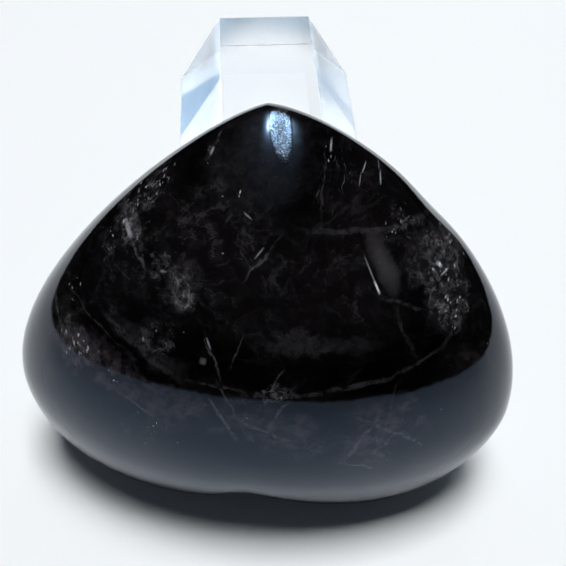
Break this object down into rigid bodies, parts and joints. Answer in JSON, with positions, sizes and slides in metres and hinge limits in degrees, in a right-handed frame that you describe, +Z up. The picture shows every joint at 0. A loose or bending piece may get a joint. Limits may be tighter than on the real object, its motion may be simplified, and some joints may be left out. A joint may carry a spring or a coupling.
{
  "type": "crystal heart on display bar",
  "caption": "Polished dark puffed heart stone, tip up, leaning back against the end of a clear bar with slanted sides.",
  "frame": {"origin": "on the surface the part stands on, under the middle of its bounding box", "axes": "+Z up; the heart's face looks along -Y and the clear bar runs back from it along +Y; +X to the viewer's right"},
  "size_m": [0.045, 0.0734, 0.0388],
  "materials": {
    "smoky_quartz": "polished",
    "clear_glass": "polished"
  },
  "bodies": {
    "bar": {"clear_bar": "clear_glass"},
    "heart": {"heart_stone": "smoky_quartz"}
  },
  "joints": [
    {"name": "heart_lift", "type": "slide", "parent": "bar", "child": "heart", "axis": [0, 0, 1], "range_m": [0, 0.06]}
  ]
}
